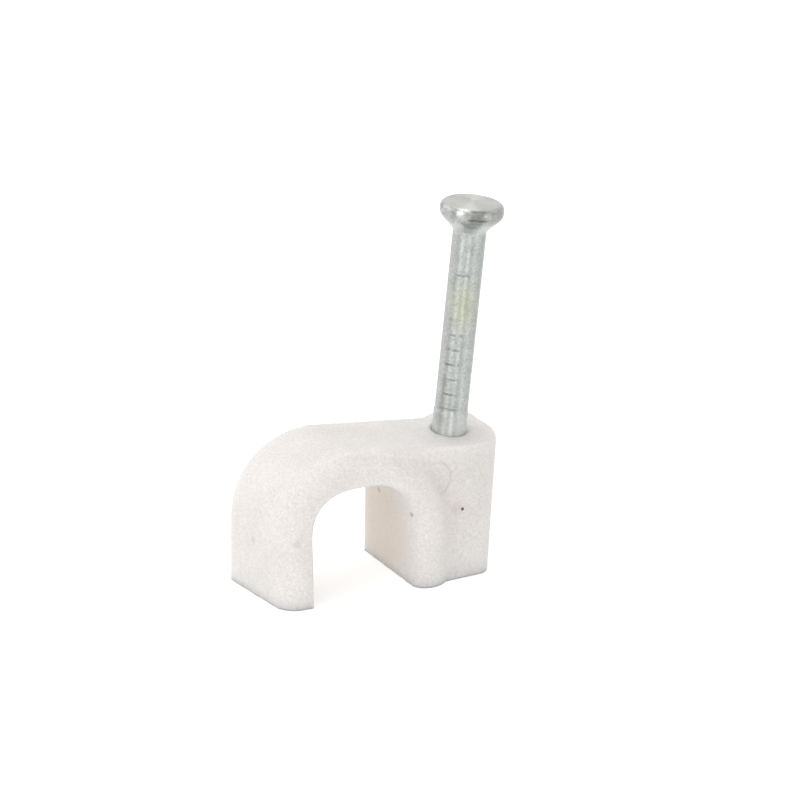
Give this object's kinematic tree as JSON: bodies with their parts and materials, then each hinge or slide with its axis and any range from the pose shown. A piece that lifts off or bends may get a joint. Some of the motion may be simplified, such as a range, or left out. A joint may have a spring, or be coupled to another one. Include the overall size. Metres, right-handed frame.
{
  "type": "cable clip",
  "caption": "Nail-in cable clip: a plastic hook that bends over one round cable, beside a solid block that holds a steel nail upright.",
  "frame": {"origin": "on the wall face of the block, between the cable channel and the nail hole", "axes": "+Z away from the wall, +X from the free hook towards the nail, +Y along the cable towards the back face"},
  "size_m": [0.0169, 0.0076, 0.0229],
  "materials": {
    "white_polyethylene": "satin moulded surface, slightly warm white",
    "zinc_plated_steel": "bright zinc plate"
  },
  "bodies": {
    "root": {"clip_body": "white_polyethylene", "nail": "zinc_plated_steel"}
  },
  "joints": []
}
